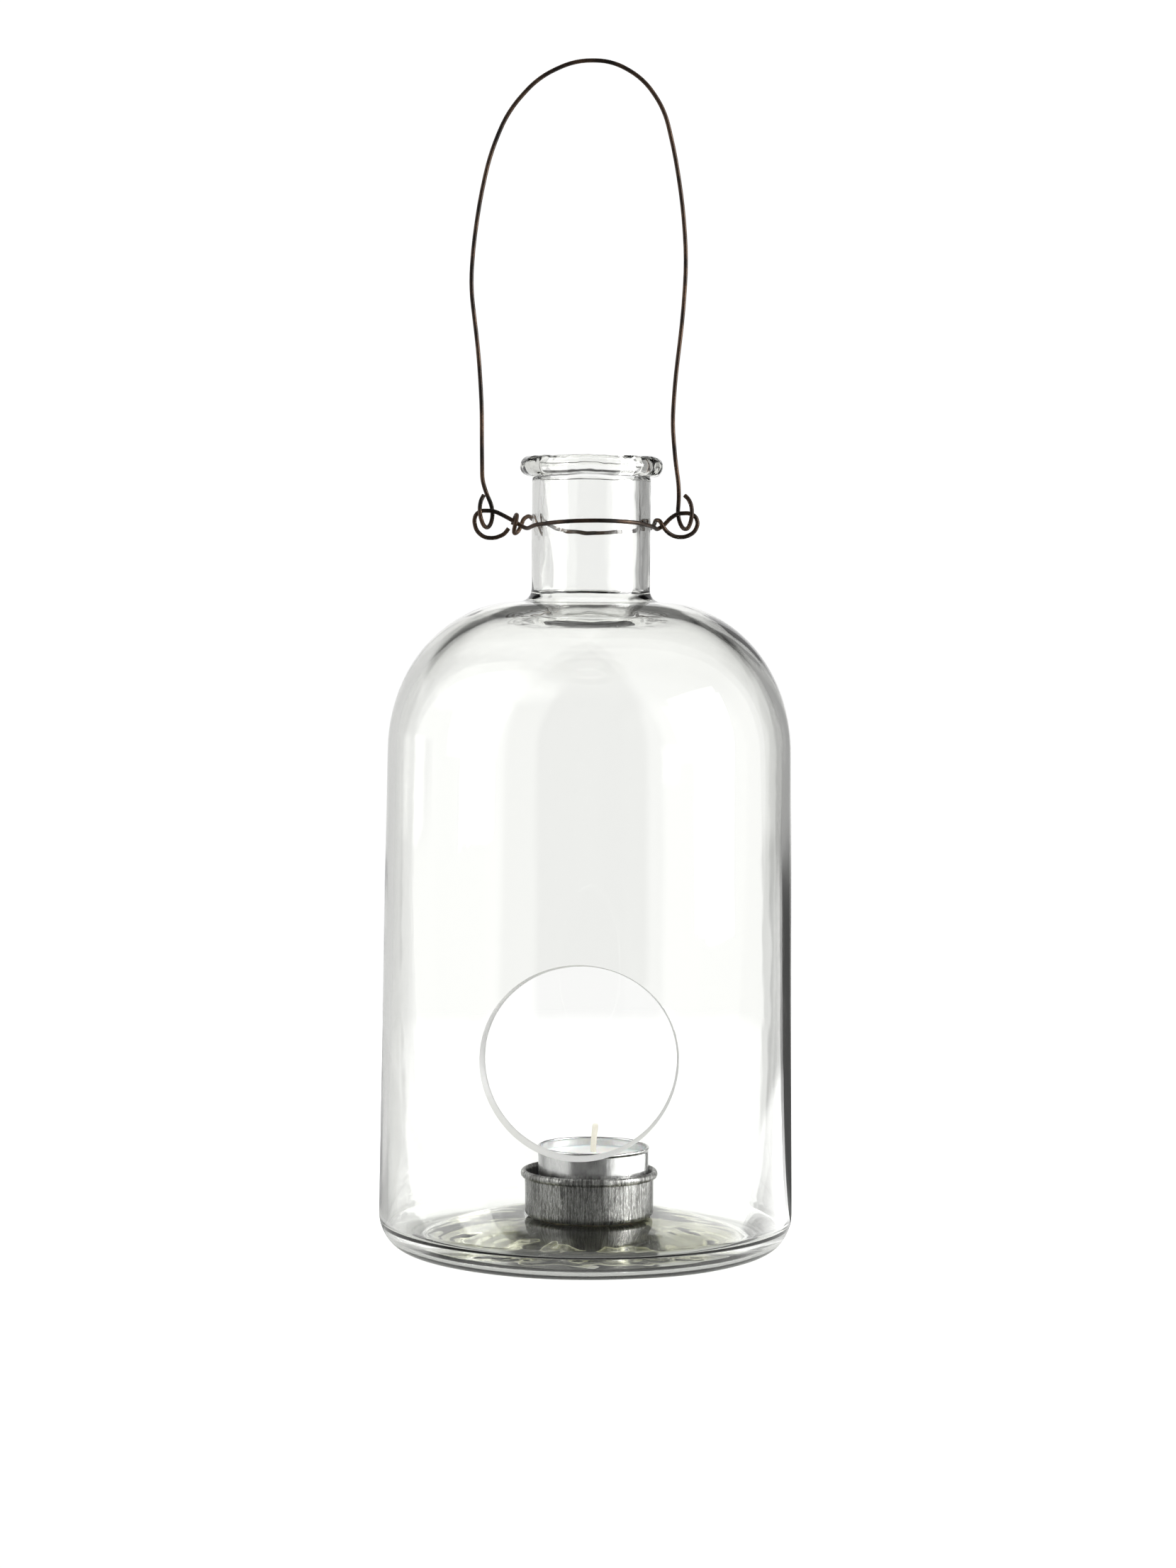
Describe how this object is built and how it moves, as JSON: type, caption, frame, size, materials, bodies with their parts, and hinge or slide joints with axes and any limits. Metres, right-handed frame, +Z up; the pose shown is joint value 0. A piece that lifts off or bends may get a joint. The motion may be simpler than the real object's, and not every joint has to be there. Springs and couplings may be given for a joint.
{
  "type": "hanging glass tealight lantern",
  "caption": "Clear glass bottle lantern with a round hand hole low in the front wall, a wire bail hooked to a neck wire, and a tealight in a metal cup on its floor.",
  "frame": {"origin": "centre of the bottle's standing ring, on the surface that the lantern stands on", "axes": "+Z up along the bottle's axis, -Y towards the round hand hole, X along the line about which the bail swings"},
  "size_m": [0.1386, 0.1386, 0.3949],
  "materials": {
    "clear_glass": "smooth blown glass with slight waves and a faint green tint where thick",
    "iron_wire": "dark brown annealed iron wire, satin",
    "galvanised_sheet": "weathered galvanised steel with fine vertical scratches",
    "clear_glue": "cured clear adhesive, slightly tan",
    "aluminium_foil": "thin pressed aluminium with fine vertical draw lines",
    "wax": "white paraffin wax, slightly translucent",
    "cotton": "waxed braided cotton",
    "tin_plate": "bright tin plate"
  },
  "bodies": {
    "lantern": {"glass_bottle": "clear_glass", "neck_wire": "iron_wire", "candle_cup": "galvanised_sheet", "glue_pad": "clear_glue"},
    "bail": {"bail_wire": "iron_wire"},
    "tealight": {"tealight_cup": "aluminium_foil", "tealight_wax": "wax", "tealight_wick": "cotton", "wick_sustainer": "tin_plate"}
  },
  "joints": [
    {"name": "bail_swing", "type": "hinge", "parent": "lantern", "child": "bail", "pos_m": [0, 0, 0.2451], "axis": [1, 0, 0], "range_deg": [-130, 130]},
    {"name": "tealight_lift", "type": "slide", "parent": "lantern", "child": "tealight", "axis": [0, 0, 1], "range_m": [0, 0.03]}
  ]
}
